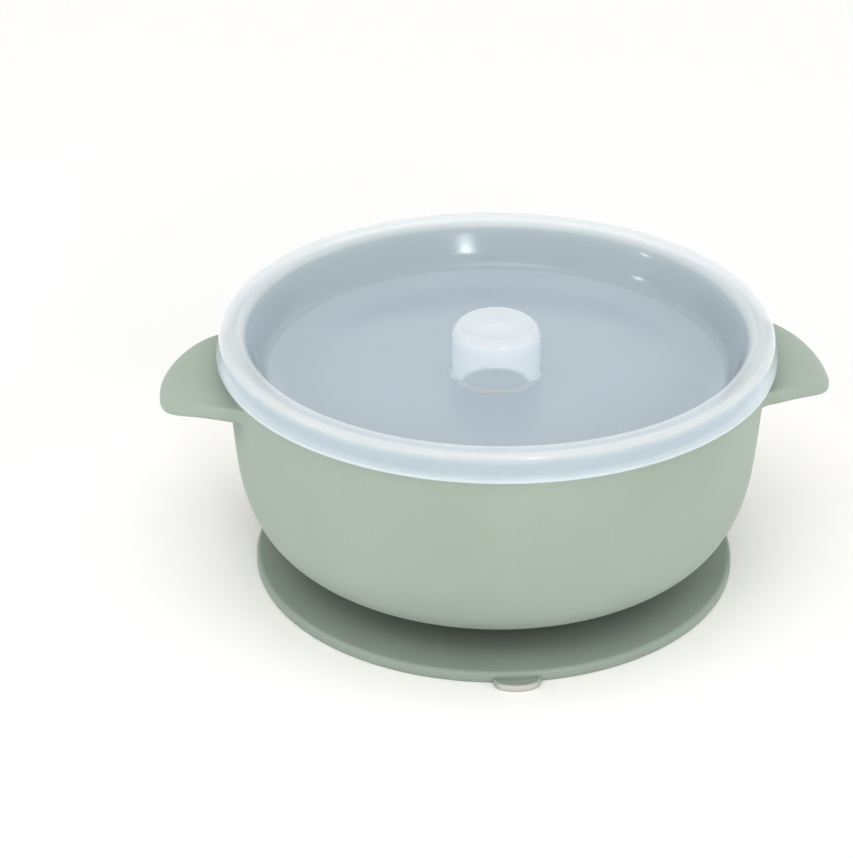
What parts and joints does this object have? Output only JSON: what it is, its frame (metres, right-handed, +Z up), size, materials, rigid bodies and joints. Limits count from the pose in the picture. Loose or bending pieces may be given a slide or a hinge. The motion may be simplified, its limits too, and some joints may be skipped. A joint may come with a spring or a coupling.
{
  "type": "suction bowl",
  "caption": "Round feeding bowl with side ears on a wide suction disc with a release tab, closed by a translucent press-on lid with a hollow knob.",
  "frame": {"origin": "centre of the suction disc's resting face", "axes": "+Z up out of the bowl's mouth, +X and -X along the ears, -Y towards the release tab"},
  "size_m": [0.1448, 0.12, 0.0573],
  "materials": {
    "sage_silicone": "matte sage-green silicone with a fine satin skin",
    "milky_lid": "translucent milky moulding, semi-gloss"
  },
  "bodies": {
    "base": {"suction_disc": "sage_silicone"},
    "bowl": {"bowl_shell": "sage_silicone"},
    "lid": {"lid": "milky_lid"},
    "tab": {"release_tab": "sage_silicone"}
  },
  "joints": [
    {"name": "suction_press", "type": "slide", "parent": "base", "child": "bowl", "axis": [0, 0, 1], "range_m": [-0.0015, 0], "stiffness_N_per_m": 1200, "springref_m": 0.002},
    {"name": "lid_lift", "type": "slide", "parent": "bowl", "child": "lid", "axis": [0, 0, 1], "range_m": [0, 0.06]},
    {"name": "tab_lift", "type": "hinge", "parent": "base", "child": "tab", "pos_m": [0, -0.05365, 0.0007], "axis": [-1, 0, 0], "range_deg": [0, 65]}
  ]
}
